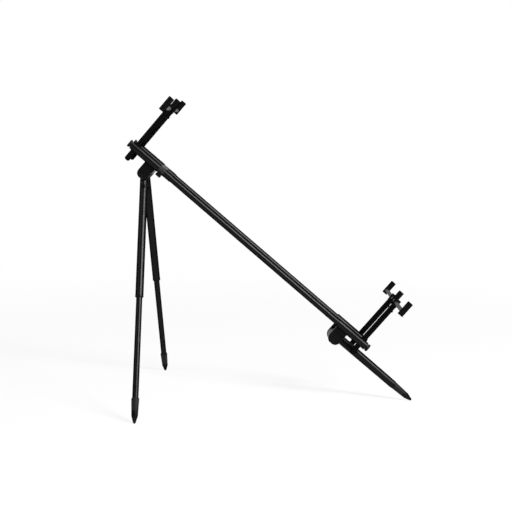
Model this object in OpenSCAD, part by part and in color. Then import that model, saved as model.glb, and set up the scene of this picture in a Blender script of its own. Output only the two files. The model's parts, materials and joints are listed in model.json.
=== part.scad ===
// Rod pod with a sloping twin-rail main bar, two buzz bars, two front legs and one rear leg.
// Millimetres, +Z up. X runs along the bar from the raised front end to the low rear end.
// The origin is on the ground under the middle of the outline.
// Left is -Y and right is +Y, as seen by an angler who sits behind the pod.

/* [Main bar] */
// Slope of the main bar below the horizontal
tilt = 39.7; // [34:0.1:46]
// Distance between the front and the rear stems along the bar
stem_span = 733; // [680:1:800]
// Half the spacing of the two rails
rail_half = 38; // [36:0.5:42]
// Outer diameter of a rail
rail_d = 16; // [15:0.1:16.6]
// Wall of a rail
rail_wall = 1.5; // [1:0.1:2.5]

/* [Sleeves] */
// Outer diameter of the end sleeves
sleeve_d = 20.5; // [20:0.1:22]
// Front sleeve, from the stem axis to its inner end
front_sleeve_in = 75; // [72:0.5:84]
// Rear sleeve, from the stem axis to its inner end
rear_sleeve_in = 76; // [74:0.5:84]
// Front sleeve, from the stem axis to its outer end
front_nose = 12.4; // [11.5:0.1:16]
// Rear sleeve, from the stem axis to its outer end
rear_nose = 15.4; // [11.5:0.1:18]
// Solid length between the stem axis and the end of the rail bore
rail_seat = 10; // [9:0.5:12]

/* [Rail clamp and collars] */
// Length of the clamp along the bar
clamp_len = 16.4; // [15:0.2:20]
// Wall of the clamp round a rail
clamp_wall = 1.2; // [1:0.1:2]
// Width of the groove along each side of the clamp
clamp_groove = 0.8; // [0.4:0.1:1.2]
// Height of the groove above the rail axis
clamp_groove_h = 2.6; // [2:0.1:4]
// Joint of the clamp with its lower jaw, depth below the rail axis
clamp_jaw_h = 4.2; // [3:0.1:6]
// Boss under the clamp for a thumbscrew
clamp_boss = 2.3; // [1.5:0.1:3.5]
// Outer diameter of a stop collar
collar_d = 18.2; // [17.8:0.1:20]
// Length of a stop collar
collar_len = 22.6; // [15:0.2:30]
// Gap between the clamp and the collars when the bar is closed
collar_gap = 0.5; // [0.3:0.1:1]

/* [Screws] */
// Diameter of a thumbscrew under the clamp
rail_knob_d = 14.4; // [12:0.2:15]
// Height of a thumbscrew under the clamp
rail_knob_h = 5.6; // [4:0.2:9]
// Diameter of a screw at the end of a sleeve
stem_knob_d = 19.4; // [17:0.2:20]
// Thickness of a screw head at the end of a sleeve
stem_knob_h = 4.8; // [3:0.1:7]
// Diameter of the neck under a screw head
stem_knob_neck_d = 15; // [10:0.5:16]
// Length of the neck under a screw head
stem_knob_neck = 3.6; // [2:0.1:5]
// Thread diameter of all the screws
screw_d = 6; // [5:0.5:7]

/* [Hinges] */
// Round end of the front hinge cheeks
hinge_r = 15.5; // [15:0.1:16]
// Round end of the rear hinge cheeks
rear_hinge_r = 17; // [15:0.1:18]
// Edge bevel of the hinge cheeks
hinge_bevel = 2; // [0.5:0.1:3]
// Rounding along the lower long edges of the hinge blocks
hinge_round = 11; // [6:0.5:13]
// Front pivot, distance behind the front stems
front_pivot_u = 53; // [50:0.5:56]
// Front pivot, depth below the rail axis
front_drop = 35; // [34.5:0.1:40]
// Rear pivot, distance ahead of the rear stems
rear_pivot_u = 53.8; // [50:0.1:58]
// Rear pivot, depth below the rail axis
rear_drop = 36; // [35.5:0.1:40]
// Diameter of the pivot pins
pivot_d = 10; // [8:0.5:11]
// Outer cheeks of the front hinge
front_cheek_t = 8; // [6:0.2:8]
// Half the width of the web between the front legs
front_web = 8; // [5:0.2:8.4]
// Cheeks of the rear hinge
rear_cheek_t = 8; // [5:0.2:10]
// Half the width across the rear hinge
rear_out = 33; // [30:0.5:35]
// Depth of the web under the rear sleeves, from the rail axis
rear_web_h = 12; // [11:0.5:16]
// Rail axis to the side of the rear web
rear_web_in = 4; // [2:0.5:6]
// Radius of a front knuckle eye
eye_r = 10.6; // [9:0.1:11]

/* [Front legs] */
// Splay of each front leg
splay = 23.7; // [20:0.1:24.4]
// Swing of the left leg behind the vertical
left_swing = 1.2; // [-1:0.1:4]
// Swing of the right leg behind the vertical
right_swing = 2.9; // [-1:0.1:4]
// Leg axis, distance from the middle at the pivot
leg_y = 17; // [16.6:0.1:17.6]
// Pivot to the splay joint
splay_reach = 33; // [32:0.2:36]
// Thickness of the splay tongue
tongue_t = 8; // [6:0.2:9]
// Radius of the round end of the splay tongue
tongue_r = 8.8; // [7:0.1:9]
// Depth of a fork below its slot
fork_neck = 9; // [6:0.5:14]
// Diameter of a splay pin
splay_pin_d = 6; // [5:0.2:7]
// Outer diameter of an outer leg tube
leg_d = 19.5; // [19:0.1:20.4]
// Wall of an outer leg tube
leg_wall = 1.6; // [1:0.1:1.8]
// Pivot to the lower end of an outer leg tube
leg_tube_end = 312; // [300:1:340]
// Outer diameter of an inner leg tube
inner_d = 14.7; // [14:0.1:15.4]
// Wall of an inner leg tube
inner_wall = 1.4; // [0.8:0.1:2.5]
// Radius that the lip of a front leg bush stands proud of the tube
lip_proud = 0.3; // [0:0.1:0.8]
// Travel left before an inner leg tube meets its stop
stop_gap = 13; // [6:0.5:20]

/* [Feet] */
// Length of a foot
foot_len = 59; // [55:0.5:66]
// Diameter of the foot at its collar
foot_d = 18.6; // [17.4:0.1:21]
// Diameter of the foot where its point begins
foot_neck_d = 15.2; // [12:0.1:16]
// Bevel round the top of a foot
foot_bevel = 1; // [0.4:0.1:1.2]
// Length of the point of a foot
foot_point = 17.5; // [12:0.5:22]
// Radius of the tip of a foot
tip_r = 3.4; // [1.5:0.1:4]

/* [Rear leg] */
// Pivot to the tip of the rear leg, closed
rear_leg_len = 257; // [240:0.5:280]
// Rear leg axis, distance above its pivot
rear_lift = 3.8; // [0:0.1:4]
// Outer diameter of the rear leg tube at the knuckle
rear_leg_d = 21.8; // [20.6:0.1:22]
// Outer diameter of the rear leg tube at the foot
rear_leg_end_d = 20.2; // [19.6:0.1:20.6]
// Radius of the barrel of the rear knuckle, between the rear cheeks
rear_barrel_r = 16.2; // [14:0.1:17]
// Diameter of the rear knuckle
rear_knuckle_d = 22.2; // [22:0.1:22.6]
// Pivot to the end of the rear knuckle
rear_knuckle_end = 70; // [60:0.5:78]
// Room above the plug of the rear inner tube when it is closed
rear_plug_gap = 5; // [2:0.5:12]

/* [Buzz bars] */
// Diameter of a stem
stem_d = 14; // [13:0.1:14.4]
// Lower end of a stem below the rail axis
stem_tail = 36.5; // [30:0.5:45]
// Bevel round the lower end of a stem
tail_bevel = 3; // [1:0.1:5]
// Height of the front cross bar above the rail axis
front_bar_h = 127.2; // [115:0.2:150]
// Height of the rear cross bar above the rail axis
rear_bar_h = 131; // [115:0.2:150]
// Diameter of a cross bar
bar_d = 10; // [8:0.1:10.4]
// Half the spacing of the outer alarm inserts
insert_half = 165; // [130:1:200]
// Diameter of an alarm insert
insert_d = 14.5; // [14:0.1:17]
// Top of an insert above the cross bar
insert_up = 28; // [24:0.5:34]
// Bottom of an insert below the cross bar
insert_down = 10; // [8:0.5:14]
// Length of a cross bar past the axis of an outer insert
bar_over = 3; // [2:0.5:5]
// Bore of the thread in an insert
thread_d = 8.3; // [7:0.1:9.6]
// Depth of the thread in an insert
thread_depth = 15; // [10:0.5:17]
// Wall of a stem cap
cap_wall = 0.8; // [0.5:0.1:1.4]
// Half the height of a stem cap
cap_half = 10; // [8:0.5:12]
// Stop button on the rear of a stem, below the cross bar
button_drop = 23; // [18:0.5:30]
// Diameter of the stop button
button_d = 5; // [3:0.1:7]
// Height that the stop button stands proud of a stem
button_proud = 1.4; // [0.6:0.1:2]

/* [Fits] */
// Radial clearance of sliding and turning fits
run_gap = 0.05; // [0.03:0.01:0.09]
// Radial clearance of pieces that are fixed together
fix_gap = 0.02; // [0.01:0.01:0.04]
// Clearance beside faces that turn past each other
side_gap = 0.4; // [0.3:0.05:0.6]

/* [Hidden] */
$fn = 64;

// Depth of the pin ends below the faces round them
pin_in = 0.6;
LEFT = -1;
RIGHT = 1;
eps = 0.5;
black = [0.06, 0.06, 0.065];
gloss_black = [0.09, 0.09, 0.095];
grey = [0.36, 0.36, 0.37];
steel = [0.55, 0.55, 0.56];
// Height of the front stem crossing above the ground, from the rear foot that stands on it
rear_tip_u = stem_span - rear_pivot_u + rear_leg_len - tip_r;
rear_axis_h = rear_lift - rear_drop;
head_z = tip_r + rear_tip_u * sin(tilt) - rear_axis_h * cos(tilt);
// Middle of the outline, from the front stem ends to the rear tip
x_front = -(stem_tail - tail_bevel) * sin(tilt) - stem_d / 2 * cos(tilt);
x_rear = rear_tip_u * cos(tilt) + rear_axis_h * sin(tilt) + tip_r;
x_mid = (x_front + x_rear) / 2;
// Rails
rail_front = rail_seat + 1;
rail_len = stem_span - rail_seat - 1 - rail_front;
// Clamp and collar places along the bar
clamp_r = rail_d / 2 + clamp_wall;
clamp_u = front_sleeve_in + clamp_len / 2;
collar_u = front_sleeve_in + clamp_len + collar_gap;
knob_seat = clamp_r + clamp_boss;
// Front pivot in the frame of the pod
front_pivot_x = front_pivot_u * cos(tilt) - front_drop * sin(tilt) - x_mid;
front_pivot_z = head_z - front_pivot_u * sin(tilt) - front_drop * cos(tilt);
// Front hinge widths along Y
front_out = rail_half;
front_in = front_out - front_cheek_t;
// Height of the cheeks' upper ends, inside the sleeves, below the rail axis
cheek_over = 3;
cheek_top = sleeve_d / 2 - cheek_over;
// Step of the front web inside the outline of the cheeks
web_step = 3;
// Height of the bridge between the front cheeks, above the pivot and clear of the eyes
bridge_h = eye_r + 2 * side_gap;
// Radius that the leg keeps clear of the round end of a cheek, as it folds past the cheek's straight side
cheek_clear = hinge_r + 6 * side_gap;
// Shoulder of a knuckle, from the pivot along the leg
shoulder_top = eye_r + 1;
// Leg lengths measured along the leg from the pivot
fork_r = leg_d / 2;
fork_slot_end = splay_reach + tongue_r + side_gap;
fork_end = fork_slot_end + fork_neck;
spigot_len = 16;
leg_bore = leg_d - 2 * leg_wall;
lip_t = 4;
lip_bevel = 0.8;
bush_len = 12;
plug_len = 13;
plug_spigot = 8;
socket_depth = 22;
bush_end = leg_tube_end + lip_t;
inner_top = leg_tube_end - bush_len - stop_gap;
// Rear leg lengths measured from the pivot
rear_foot_top = rear_leg_len - foot_len;
rear_tube_end = rear_foot_top - lip_t;
rear_bore = rear_leg_end_d - 2 * leg_wall;
rear_in = rear_out - rear_cheek_t;
rear_inner_top = rear_knuckle_end + spigot_len + rear_plug_gap + plug_len;

// Height of the cross bar on the stems at that place along the main bar
function bar_h(u) = u > 0 ? rear_bar_h : front_bar_h;
function swing(side) = side == LEFT ? left_swing : right_swing;
// Distance from the pivot to the centre of the tip of a front leg that stands on the ground
function leg_reach(side) = (front_pivot_z - tip_r) / (cos(splay) * cos(swing(side)));
function foot_top(side) = leg_reach(side) + tip_r - foot_len;

// Frame of the bar: X along the bar, Z square to it, origin where the front stems cross the rails
module on_bar() {
    translate([-x_mid, 0, head_z]) rotate([0, tilt, 0]) children();
}

// Right or left half of a symmetrical pair
module on_side(side) {
    if (side == LEFT) mirror([0, 1, 0]) children();
    else children();
}

// Frame of a front knuckle: origin on the pivot, the leg hangs along -Z before its splay
module on_pivot(side) {
    translate([front_pivot_x, 0, front_pivot_z]) rotate([0, -swing(side), 0]) on_side(side) children();
}

// Frame of a front leg: the leg runs along -Z from the pivot
module on_leg(side) {
    on_pivot(side) translate([0, leg_y, 0]) rotate([splay, 0, 0]) children();
}

// Frame of the rear leg: the leg runs along +Z from the pivot
module on_rear_leg() {
    on_bar() translate([stem_span - rear_pivot_u, 0, rear_axis_h]) rotate([0, 90, 0]) children();
}

// Solid that runs from y0 to y1 with an outline in the X and Z of the bar
module across(y0, y1) {
    translate([0, y1, 0]) rotate([90, 0, 0]) linear_extrude(y1 - y0) children();
}

module tube(d, bore, len) {
    difference() {
        cylinder(d = d, h = len);
        translate([0, 0, -eps]) cylinder(d = bore, h = len + 2 * eps);
    }
}

// Round bar with a bevel at its far end
module bevelled(d, len, bevel) {
    cylinder(d = d, h = len - bevel);
    translate([0, 0, len - bevel]) cylinder(d1 = d, d2 = d - 2 * bevel, h = bevel);
}

module rail(side) {
    color(gloss_black) on_bar() translate([rail_front, side * rail_half, 0]) rotate([0, 90, 0])
        tube(rail_d, rail_d - 2 * rail_wall, rail_len);
}

module collar(side) {
    color(gloss_black) on_bar() translate([collar_u, side * rail_half, 0]) rotate([0, 90, 0])
        tube(collar_d, rail_d + 2 * fix_gap, collar_len);
}

// End sleeve along +X from its outer end, with the rail bore, the stem bore and the screw hole
module sleeve(nose, inside, gap) {
    difference() {
        translate([-nose, 0, 0]) rotate([0, 90, 0]) cylinder(d = sleeve_d, h = nose + inside);
        translate([rail_seat, 0, 0]) rotate([0, 90, 0]) cylinder(d = rail_d + 2 * gap, h = inside);
        translate([0, 0, -sleeve_d]) cylinder(d = stem_d + 2 * run_gap, h = 2 * sleeve_d);
        translate([-nose - eps, 0, 0]) rotate([0, 90, 0]) cylinder(d = screw_d + 2 * run_gap, h = nose + eps);
    }
}

module front_sleeve(side) {
    color(gloss_black) on_bar() translate([0, side * rail_half, 0])
        sleeve(front_nose, front_sleeve_in, run_gap);
}

module rear_sleeve(side) {
    color(gloss_black) on_bar() translate([stem_span, side * rail_half, 0]) mirror([1, 0, 0])
        sleeve(rear_nose, rear_sleeve_in, fix_gap);
}

// Screw at the end of a sleeve, along +X from the end face, its shank ends short of the stem
module stem_screw(nose) {
    shank = nose - stem_d / 2 - side_gap;
    rotate([0, -90, 0]) {
        translate([0, 0, -shank]) cylinder(d = screw_d, h = shank + eps);
        cylinder(d = stem_knob_neck_d, h = stem_knob_neck + eps);
        translate([0, 0, stem_knob_neck]) bevelled(stem_knob_d, stem_knob_h, 0.8);
    }
}

module front_stem_knob(side) {
    color(gloss_black) on_bar() translate([-front_nose, side * rail_half, 0]) stem_screw(front_nose);
}

module rear_stem_knob(side) {
    color(gloss_black) on_bar() translate([stem_span + rear_nose, side * rail_half, 0]) mirror([1, 0, 0])
        stem_screw(rear_nose);
}

// Whole clamp round both rails, in the frame of the bar
module clamp_body() {
    difference() {
        union() {
            for (side = [LEFT, RIGHT]) translate([front_sleeve_in, side * rail_half, 0]) {
                rotate([0, 90, 0]) cylinder(r = clamp_r, h = clamp_len);
                translate([clamp_len / 2, 0, -knob_seat]) cylinder(d = rail_knob_d - 1, h = knob_seat);
            }
            translate([front_sleeve_in, -rail_half, -clamp_r]) cube([clamp_len, 2 * rail_half, 2 * clamp_r]);
        }
        for (side = [LEFT, RIGHT]) translate([front_sleeve_in, side * rail_half, 0]) {
            translate([-eps, 0, 0]) rotate([0, 90, 0])
                cylinder(d = rail_d + 2 * run_gap, h = clamp_len + 2 * eps);
            translate([clamp_len / 2, 0, -knob_seat - eps])
                cylinder(d = screw_d + 2 * run_gap, h = knob_seat);
            translate([-eps, side == LEFT ? -clamp_r - eps : rail_d / 2, clamp_groove_h])
                cube([clamp_len + 2 * eps, clamp_wall + eps, clamp_groove]);
        }
    }
}

// Block that holds all of the clamp below the joint with its jaw
module jaw_space() {
    translate([front_sleeve_in - eps, -rail_half - clamp_r - eps, -knob_seat - eps])
        cube([clamp_len + 2 * eps, 2 * (rail_half + clamp_r + eps), knob_seat + eps - clamp_jaw_h]);
}

module rail_clamp() {
    color(grey) on_bar() difference() {
        clamp_body();
        jaw_space();
    }
}

module clamp_jaw() {
    color(black) on_bar() intersection() {
        clamp_body();
        jaw_space();
    }
}

module rail_knob(side) {
    color(black) on_bar() translate([clamp_u, side * rail_half, -knob_seat]) rotate([180, 0, 0]) {
        bevelled(rail_knob_d, rail_knob_h, 0.6);
        translate([0, 0, rail_d / 2 + side_gap - knob_seat])
            cylinder(d = screw_d, h = knob_seat - rail_d / 2 - side_gap + eps);
    }
}

// Outline of a hinge cheek: a round end below and straight sides up to the sleeves
module cheek_outline(r, drop, top) {
    circle(r);
    translate([-r, 0]) square([2 * r, drop - top]);
}

// Cheek from y0 to y1 with its edge bevelled at y1
module cheek(r, drop, top, y0, y1, bevel) {
    across(y0, y1 - bevel) cheek_outline(r, drop, top);
    translate([0, y1 - bevel, 0]) rotate([-90, 0, 0]) cylinder(r1 = r, r2 = r - bevel, h = bevel);
    linear_extrude(drop - top) polygon([[-r, y1 - bevel], [r, y1 - bevel], [r - bevel, y1], [bevel - r, y1]]);
}

// Pair of cheeks with their lower long edges rounded off
module cheeks(r, drop, y0, y1) {
    for (side = [LEFT, RIGHT]) on_side(side) intersection() {
        cheek(r, drop, cheek_top, y0, y1, hinge_bevel);
        translate([-r - eps, 0, 0]) rotate([90, 0, 90]) linear_extrude(2 * (r + eps)) {
            translate([0, hinge_round - r]) square([y1, drop + r - hinge_round]);
            translate([0, -r]) square([y1 - hinge_round, 2 * hinge_round]);
            translate([y1 - hinge_round, hinge_round - r]) circle(hinge_round);
        }
    }
}

module front_hinge_block() {
    color(black) on_bar() difference() {
        translate([front_pivot_u, 0, -front_drop]) {
            cheeks(hinge_r, front_drop, front_in, front_out);
            across(-front_web, front_web) cheek_outline(hinge_r - web_step, front_drop, cheek_top);
            translate([-hinge_r, -front_in - eps, bridge_h])
                cube([2 * hinge_r, 2 * (front_in + eps), front_drop - bridge_h - cheek_top]);
        }
        for (side = [LEFT, RIGHT]) translate([0, side * rail_half, 0]) rotate([0, 90, 0])
            cylinder(r = sleeve_d / 2 + fix_gap, h = front_sleeve_in + eps);
        translate([front_pivot_u, -front_out - eps, -front_drop]) rotate([-90, 0, 0])
            cylinder(d = pivot_d + 2 * fix_gap, h = 2 * front_out + 2 * eps);
    }
}

module front_pivot_pin() {
    color(steel) on_bar() translate([front_pivot_u, pin_in - front_out, -front_drop])
        rotate([-90, 0, 0]) cylinder(d = pivot_d, h = 2 * (front_out - pin_in));
}

module rear_hinge_block() {
    color(black) on_bar() difference() {
        translate([stem_span - rear_pivot_u, 0, -rear_drop]) {
            cheeks(rear_hinge_r, rear_drop, rear_in, rear_out);
            translate([-rear_hinge_r, rear_web_in - rail_half, rear_drop - rear_web_h])
                cube([2 * rear_hinge_r, 2 * (rail_half - rear_web_in), rear_web_h]);
        }
        for (side = [LEFT, RIGHT]) translate([stem_span - rear_sleeve_in, side * rail_half, 0])
            rotate([0, 90, 0]) cylinder(r = sleeve_d / 2 + fix_gap, h = rear_sleeve_in);
        translate([stem_span - rear_pivot_u, -rear_out - eps, -rear_drop]) rotate([-90, 0, 0])
            cylinder(d = pivot_d + 2 * fix_gap, h = 2 * rear_out + 2 * eps);
    }
}

module rear_pivot_pin() {
    color(steel) on_bar() translate([stem_span - rear_pivot_u, pin_in - rear_out, -rear_drop])
        rotate([-90, 0, 0]) cylinder(d = pivot_d, h = 2 * (rear_out - pin_in));
}

// Eye on the pivot pin with a shoulder as thick as the leg, cut away for the cheek and the ears of the fork
module knuckle(side) {
    color(black) on_pivot(side) difference() {
        union() {
            translate([0, front_web + side_gap, 0]) rotate([-90, 0, 0])
                cylinder(r = eye_r, h = front_in - front_web - 2 * side_gap);
            translate([0, leg_y, 0]) rotate([splay, 0, 0]) {
                translate([0, 0, -splay_reach]) cylinder(d = leg_d, h = splay_reach - shoulder_top);
                translate([-tongue_t / 2, 0, -splay_reach]) rotate([0, 90, 0])
                    cylinder(r = tongue_r, h = tongue_t);
            }
        }
        translate([0, front_in - side_gap, 0]) rotate([-90, 0, 0]) cylinder(r = cheek_clear, h = leg_d);
        translate([0, leg_y, 0]) rotate([splay, 0, 0]) translate([0, 0, -splay_reach]) rotate([0, 90, 0]) {
            translate([0, 0, tongue_t / 2]) cylinder(r = fork_r + side_gap, h = leg_d);
            translate([0, 0, -tongue_t / 2 - leg_d]) cylinder(r = fork_r + side_gap, h = leg_d);
            translate([0, 0, -leg_d]) cylinder(d = splay_pin_d + 2 * run_gap, h = 2 * leg_d);
        }
        rotate([-90, 0, 0]) cylinder(d = pivot_d + 2 * run_gap, h = 3 * front_in);
    }
}

// Forked top plug of a leg: round ears about the splay pin, and a spigot inside the tube
module leg_fork(side) {
    color(gloss_black) on_leg(side) difference() {
        union() {
            translate([0, 0, -fork_end]) cylinder(d = leg_d, h = fork_end - splay_reach);
            intersection() {
                translate([0, 0, -splay_reach]) cylinder(d = leg_d, h = fork_r);
                translate([-fork_r, 0, -splay_reach]) rotate([0, 90, 0]) cylinder(r = fork_r, h = leg_d);
            }
            translate([0, 0, -fork_end - spigot_len])
                cylinder(d = leg_bore - 2 * fix_gap, h = spigot_len + eps);
        }
        translate([-tongue_t / 2 - side_gap / 2, -leg_d, -fork_slot_end])
            cube([tongue_t + side_gap, 2 * leg_d, fork_slot_end]);
        translate([-leg_d, 0, -splay_reach]) rotate([0, 90, 0])
            cylinder(d = splay_pin_d + 2 * fix_gap, h = 2 * leg_d);
    }
}

module splay_pin(side) {
    color(steel) on_leg(side) translate([pin_in - fork_r, 0, -splay_reach]) rotate([0, 90, 0])
        cylinder(d = splay_pin_d, h = leg_d - 2 * pin_in);
}

module leg_tube(side) {
    color(gloss_black) on_leg(side) translate([0, 0, -leg_tube_end])
        tube(leg_d, leg_bore, leg_tube_end - fork_end);
}

// Guide bush in the lower end of an outer tube, with a lip that covers the tube's end
module bush(lip_d, bore) {
    difference() {
        union() {
            cylinder(d = bore - 2 * fix_gap, h = lip_t + bush_len);
            cylinder(d1 = lip_d - 2 * lip_bevel, d2 = lip_d, h = lip_bevel);
            translate([0, 0, lip_bevel]) cylinder(d = lip_d, h = lip_t - lip_bevel);
        }
        translate([0, 0, -eps]) cylinder(d = inner_d + 2 * run_gap, h = lip_t + bush_len + 2 * eps);
    }
}

module leg_bush(side) {
    color(black) on_leg(side) translate([0, 0, -bush_end]) bush(leg_d + 2 * lip_proud, leg_bore);
}

module leg_inner(side) {
    bottom = foot_top(side) + socket_depth;
    color(gloss_black) on_leg(side) translate([0, 0, -bottom])
        tube(inner_d, inner_d - 2 * inner_wall, bottom - inner_top);
}

// Guide plug on the top of an inner tube, seated in it and sliding in the outer tube
module plug(bore) {
    cylinder(d = bore - 2 * run_gap, h = plug_len);
    translate([0, 0, -plug_spigot])
        cylinder(d = inner_d - 2 * inner_wall - 2 * fix_gap, h = plug_spigot + eps);
}

module leg_plug(side) {
    color(grey) on_leg(side) translate([0, 0, -inner_top]) plug(leg_bore);
}

// Spike foot along -Z from its collar, with a socket for the inner tube
module foot() {
    neck = foot_len - foot_point;
    difference() {
        union() {
            rotate_extrude() polygon([[0, 0], [foot_d / 2 - foot_bevel, 0], [foot_d / 2, -2 * foot_bevel],
                [foot_neck_d / 2, -neck], [tip_r, tip_r - foot_len], [0, tip_r - foot_len]]);
            translate([0, 0, tip_r - foot_len]) sphere(r = tip_r);
        }
        translate([0, 0, -socket_depth]) cylinder(d = inner_d + 2 * fix_gap, h = socket_depth + eps);
    }
}

module leg_foot(side) {
    color(black) on_leg(side) translate([0, 0, -foot_top(side)]) foot();
}

module rear_knuckle() {
    color(black) on_bar() translate([stem_span - rear_pivot_u, 0, -rear_drop]) difference() {
        union() {
            translate([0, -rear_in + side_gap, 0]) rotate([-90, 0, 0])
                cylinder(r = rear_barrel_r, h = 2 * rear_in - 2 * side_gap);
            translate([0, 0, rear_lift]) rotate([0, 90, 0]) {
                cylinder(d = rear_knuckle_d, h = rear_knuckle_end);
                cylinder(d = rear_bore - 2 * fix_gap, h = rear_knuckle_end + spigot_len);
            }
        }
        translate([0, -rear_in, 0]) rotate([-90, 0, 0]) cylinder(d = pivot_d + 2 * run_gap, h = 2 * rear_in);
    }
}

module rear_leg_tube() {
    len = rear_tube_end - rear_knuckle_end;
    color(gloss_black) on_rear_leg() translate([0, 0, rear_knuckle_end]) difference() {
        cylinder(d1 = rear_leg_d, d2 = rear_leg_end_d, h = len);
        translate([0, 0, -eps]) cylinder(d = rear_bore, h = len + 2 * eps);
    }
}

module rear_leg_bush() {
    color(black) on_rear_leg() translate([0, 0, rear_foot_top]) rotate([180, 0, 0])
        bush(rear_leg_end_d, rear_bore);
}

module rear_leg_inner() {
    color(gloss_black) on_rear_leg() translate([0, 0, rear_inner_top])
        tube(inner_d, inner_d - 2 * inner_wall, rear_foot_top + socket_depth - rear_inner_top);
}

module rear_leg_plug() {
    color(grey) on_rear_leg() translate([0, 0, rear_inner_top]) rotate([180, 0, 0]) plug(rear_bore);
}

module rear_foot() {
    color(black) on_rear_leg() translate([0, 0, rear_foot_top]) rotate([180, 0, 0]) foot();
}

// Stem along Z with a blunt lower end, a stop button and a cross hole for the bar
module stem(u, side) {
    top = bar_h(u) + cap_half - cap_wall;
    color(black) on_bar() translate([u, side * rail_half, 0]) difference() {
        union() {
            translate([0, 0, tail_bevel - stem_tail])
                cylinder(d = stem_d, h = top - tail_bevel + stem_tail);
            translate([0, 0, -stem_tail]) cylinder(d1 = stem_d - 2 * tail_bevel, d2 = stem_d, h = tail_bevel);
            translate([0, 0, bar_h(u) - button_drop]) rotate([0, 90, 0])
                cylinder(d = button_d, h = stem_d / 2 + button_proud);
        }
        translate([0, 0, bar_h(u)]) rotate([90, 0, 0])
            cylinder(d = bar_d + 2 * fix_gap, h = 2 * stem_d, center = true);
    }
}

// Cap over the top of a stem
module stem_cap(u, side) {
    color(black) on_bar() translate([u, side * rail_half, bar_h(u)]) difference() {
        translate([0, 0, -cap_half]) bevelled(stem_d + 2 * cap_wall, 2 * cap_half, 0.5);
        translate([0, 0, -cap_half - eps])
            cylinder(d = stem_d + 2 * fix_gap, h = 2 * cap_half - cap_wall + eps);
        rotate([90, 0, 0]) cylinder(d = bar_d + 2 * fix_gap, h = 2 * stem_d, center = true);
    }
}

module cross_bar(u) {
    color(grey) on_bar() translate([u, 0, bar_h(u)]) rotate([90, 0, 0])
        cylinder(d = bar_d, h = 2 * (insert_half + bar_over), center = true);
}

// Alarm insert with a threaded bore in its top, held by the cross bar
module insert(u, y) {
    over = bar_over + fix_gap;
    hole = y == 0 ? 2 * insert_d : insert_d / 2 + eps + over;
    color(black) on_bar() translate([u, y, bar_h(u)]) difference() {
        translate([0, 0, -insert_down]) bevelled(insert_d, insert_down + insert_up, 0.5);
        translate([0, 0, insert_up - thread_depth]) cylinder(d = thread_d, h = thread_depth + eps);
        translate([0, y > 0 ? over - hole : y < 0 ? -over : -insert_d, 0]) rotate([-90, 0, 0])
            cylinder(d = bar_d + 2 * fix_gap, h = hole);
    }
}

rail(LEFT);  // left_rail
rail(RIGHT);  // right_rail
collar(LEFT);  // left_collar
collar(RIGHT);  // right_collar
rear_sleeve(LEFT);  // left_rear_sleeve
rear_sleeve(RIGHT);  // right_rear_sleeve
rear_hinge_block();
rear_pivot_pin();
front_sleeve(LEFT);  // left_front_sleeve
front_sleeve(RIGHT);  // right_front_sleeve
rail_clamp();
clamp_jaw();
front_hinge_block();
front_pivot_pin();
rail_knob(LEFT);  // left_rail_knob
rail_knob(RIGHT);  // right_rail_knob
front_stem_knob(LEFT);  // left_front_stem_knob
front_stem_knob(RIGHT);  // right_front_stem_knob
rear_stem_knob(LEFT);  // left_rear_stem_knob
rear_stem_knob(RIGHT);  // right_rear_stem_knob
knuckle(LEFT);  // left_knuckle
knuckle(RIGHT);  // right_knuckle
leg_fork(LEFT);  // left_leg_fork
leg_fork(RIGHT);  // right_leg_fork
splay_pin(LEFT);  // left_splay_pin
splay_pin(RIGHT);  // right_splay_pin
leg_tube(LEFT);  // left_leg_tube
leg_tube(RIGHT);  // right_leg_tube
leg_bush(LEFT);  // left_leg_bush
leg_bush(RIGHT);  // right_leg_bush
leg_inner(LEFT);  // left_leg_inner
leg_inner(RIGHT);  // right_leg_inner
leg_plug(LEFT);  // left_leg_plug
leg_plug(RIGHT);  // right_leg_plug
leg_foot(LEFT);  // left_foot
leg_foot(RIGHT);  // right_foot
rear_knuckle();
rear_leg_tube();
rear_leg_bush();
rear_leg_inner();
rear_leg_plug();
rear_foot();
stem(0, LEFT);  // left_front_stem
stem(0, RIGHT);  // right_front_stem
stem_cap(0, LEFT);  // left_front_cap
stem_cap(0, RIGHT);  // right_front_cap
cross_bar(0);  // front_bar
insert(0, -insert_half);  // left_front_insert
insert(0, 0);  // middle_front_insert
insert(0, insert_half);  // right_front_insert
stem(stem_span, LEFT);  // left_rear_stem
stem(stem_span, RIGHT);  // right_rear_stem
stem_cap(stem_span, LEFT);  // left_rear_cap
stem_cap(stem_span, RIGHT);  // right_rear_cap
cross_bar(stem_span);  // rear_bar
insert(stem_span, -insert_half);  // left_rear_insert
insert(stem_span, 0);  // middle_rear_insert
insert(stem_span, insert_half);  // right_rear_insert
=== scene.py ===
"""Looks of the rod pod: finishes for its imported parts, with its screws, pins, feet and threads."""

import json
import logging
import math
from dataclasses import dataclass, replace
from enum import Enum
from typing import Iterable, Sequence

import bmesh
import bpy
from mathutils import Matrix, Vector


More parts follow.
